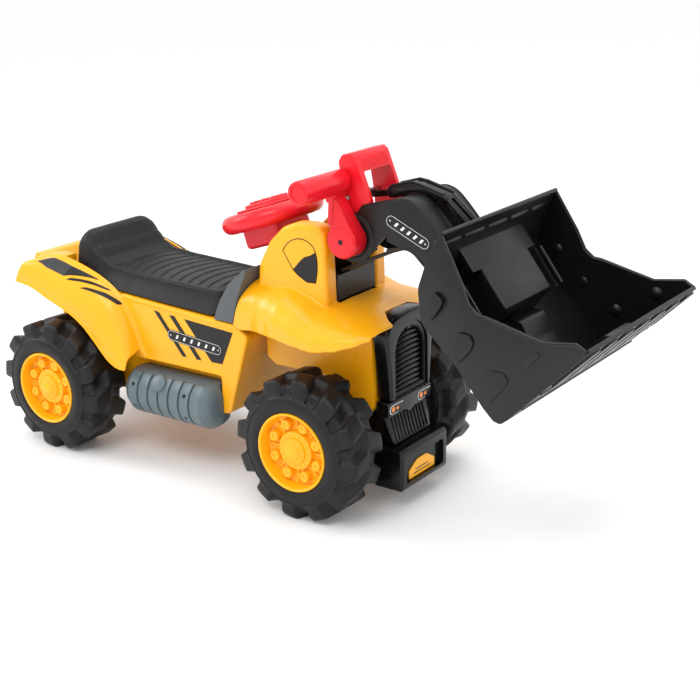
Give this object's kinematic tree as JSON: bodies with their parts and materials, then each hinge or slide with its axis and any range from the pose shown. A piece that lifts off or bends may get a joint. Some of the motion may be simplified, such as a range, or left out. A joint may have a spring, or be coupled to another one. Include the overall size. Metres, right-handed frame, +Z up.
{
  "type": "ride on digger",
  "caption": "Foot-to-floor ride-on toy loader with a steered front axle, a seat that is a storage lid, and a boom and bucket worked by hand levers.",
  "frame": {"origin": "on the floor under the middle of the digger's length and width, bucket included", "axes": "+X forward towards the bucket, +Y to the rider's left, +Z up"},
  "size_m": [0.8436, 0.278, 0.4093],
  "materials": {
    "yellow_body": "glossy moulded",
    "yellow_wheel": "glossy moulded",
    "black_tyre": "satin moulded, hollow",
    "black_plastic": "satin gloss moulded",
    "black_inner": "matte moulded",
    "black_seat": "satin moulded",
    "grey_trim": "fine matte texture",
    "grey_tank": "satin moulded",
    "red_plastic": "glossy moulded",
    "amber": "glossy",
    "steel": "zinc plated",
    "cell": "wrapped cell"
  },
  "bodies": {
    "chassis": {"rear_body": "yellow_body", "saddle_trim": "grey_trim", "front_cowl": "yellow_body", "front_frame": "yellow_body", "boom_mount": "black_plastic", "grille": "black_plastic", "lamp_strip": "black_plastic", "lamp_left": "amber", "lamp_right": "amber", "front_skirt": "black_plastic", "front_bumper": "black_plastic", "side_tank_left": "grey_tank", "side_tank_right": "grey_tank", "tank_cap_left": "grey_tank", "tank_cap_right": "grey_tank", "rear_axle": "steel", "axle_bush_left": "black_inner", "axle_bush_right": "black_inner", "front_axle_beam": "black_inner", "kingpin_left": "steel", "kingpin_right": "steel", "seat_hinge_pin": "steel"},
    "steering": {"steering_rod": "steel", "steering_wheel": "red_plastic", "button_panel": "red_plastic", "sound_module": "black_inner", "battery_1": "cell"},
    "button_1": {"sound_button_1": "black_inner"},
    "button_2": {"sound_button_2": "amber"},
    "button_3": {"sound_button_3": "black_inner"},
    "tie": {"tie_rod": "steel"},
    "steer_left": {"knuckle_left": "black_inner", "stub_axle_left": "steel"},
    "steer_right": {"knuckle_right": "black_inner", "stub_axle_right": "steel"},
    "seat": {"seat_lid": "black_seat"},
    "boom": {"boom_shell_left": "black_plastic", "boom_shell_right": "black_plastic", "lift_lever": "red_plastic", "lever_screw": "steel", "boom_shaft": "steel"},
    "handle": {"tilt_handle": "red_plastic", "handle_pin": "steel"},
    "link": {"tilt_link": "black_plastic"},
    "scoop": {"bucket": "black_plastic", "bucket_shaft": "steel", "link_pin": "steel"},
    "wheel_rear_left": {"tyre_rear_left": "black_tyre", "hub_rear_left": "yellow_wheel", "wheel_cap_rear_left": "yellow_wheel"},
    "wheel_rear_right": {"tyre_rear_right": "black_tyre", "hub_rear_right": "yellow_wheel", "wheel_cap_rear_right": "yellow_wheel"},
    "wheel_front_left": {"tyre_front_left": "black_tyre", "hub_front_left": "yellow_wheel", "wheel_cap_front_left": "yellow_wheel"},
    "wheel_front_right": {"tyre_front_right": "black_tyre", "hub_front_right": "yellow_wheel", "wheel_cap_front_right": "yellow_wheel"}
  },
  "joints": [
    {"name": "spin_rear_left", "type": "hinge", "parent": "chassis", "child": "wheel_rear_left", "pos_m": [-0.33685, 0.10475, 0.085], "axis": [0, 1, 0], "continuous": true},
    {"name": "spin_rear_right", "type": "hinge", "parent": "chassis", "child": "wheel_rear_right", "pos_m": [-0.33685, -0.10475, 0.085], "axis": [0, 1, 0], "continuous": true},
    {"name": "steering_turn", "type": "hinge", "parent": "chassis", "child": "steering", "pos_m": [-0.06115, 0, 0.318], "axis": [-0.309, 0, 0.9511], "range_deg": [-40, 40]},
    {"name": "steer_left", "type": "hinge", "parent": "chassis", "child": "steer_left", "pos_m": [0.06315, 0.048, 0.085], "axis": [0, 0, 1], "range_deg": [-13, 13]},
    {"name": "spin_front_left", "type": "hinge", "parent": "steer_left", "child": "wheel_front_left", "pos_m": [0.06315, 0.10475, 0.085], "axis": [0, 1, 0], "continuous": true},
    {"name": "steer_right", "type": "hinge", "parent": "chassis", "child": "steer_right", "pos_m": [0.06315, -0.048, 0.085], "axis": [0, 0, 1], "range_deg": [-13, 13]},
    {"name": "spin_front_right", "type": "hinge", "parent": "steer_right", "child": "wheel_front_right", "pos_m": [0.06315, -0.10475, 0.085], "axis": [0, 1, 0], "continuous": true},
    {"name": "tie_slide", "type": "slide", "parent": "chassis", "child": "tie", "axis": [0, 1, 0], "range_m": [-0.015, 0.015]},
    {"name": "button_press_1", "type": "slide", "parent": "steering", "child": "button_1", "axis": [0.309, 0, -0.9511], "range_m": [0, 0.0015], "stiffness_N_per_m": 300, "springref_m": -0.0005},
    {"name": "button_press_2", "type": "slide", "parent": "steering", "child": "button_2", "axis": [0.309, 0, -0.9511], "range_m": [0, 0.0015], "stiffness_N_per_m": 300, "springref_m": -0.0005},
    {"name": "button_press_3", "type": "slide", "parent": "steering", "child": "button_3", "axis": [0.309, 0, -0.9511], "range_m": [0, 0.0015], "stiffness_N_per_m": 300, "springref_m": -0.0005},
    {"name": "seat_open", "type": "hinge", "parent": "chassis", "child": "seat", "pos_m": [-0.10285, 0, 0.2078], "axis": [0, 1, 0], "range_deg": [0, 34]},
    {"name": "boom_lift", "type": "hinge", "parent": "chassis", "child": "boom", "pos_m": [0.08275, 0, 0.3143], "axis": [0, 1, 0], "range_deg": [-14, 22]},
    {"name": "bucket_tilt", "type": "hinge", "parent": "boom", "child": "scoop", "pos_m": [0.23515, 0, 0.2775], "axis": [0, 1, 0], "range_deg": [-7, 35]},
    {"name": "handle_tilt", "type": "hinge", "parent": "boom", "child": "handle", "pos_m": [0.08275, 0, 0.3143], "axis": [0, 1, 0], "range_deg": [-7.5, 35.5]},
    {"name": "link_swing", "type": "hinge", "parent": "handle", "child": "link", "pos_m": [0.07475, 0, 0.3588], "axis": [0, 1, 0], "range_deg": [-35.5, 7.5]}
  ],
  "couplings": [
    {"joint": "tie_slide", "follows": "steering_turn", "m_per_rad": -0.0205},
    {"joint": "steer_left", "follows": "steering_turn", "ratio": 0.30487},
    {"joint": "steer_right", "follows": "steering_turn", "ratio": 0.30487},
    {"joint": "handle_tilt", "follows": "bucket_tilt", "ratio": 1},
    {"joint": "link_swing", "follows": "bucket_tilt", "ratio": -1}
  ]
}
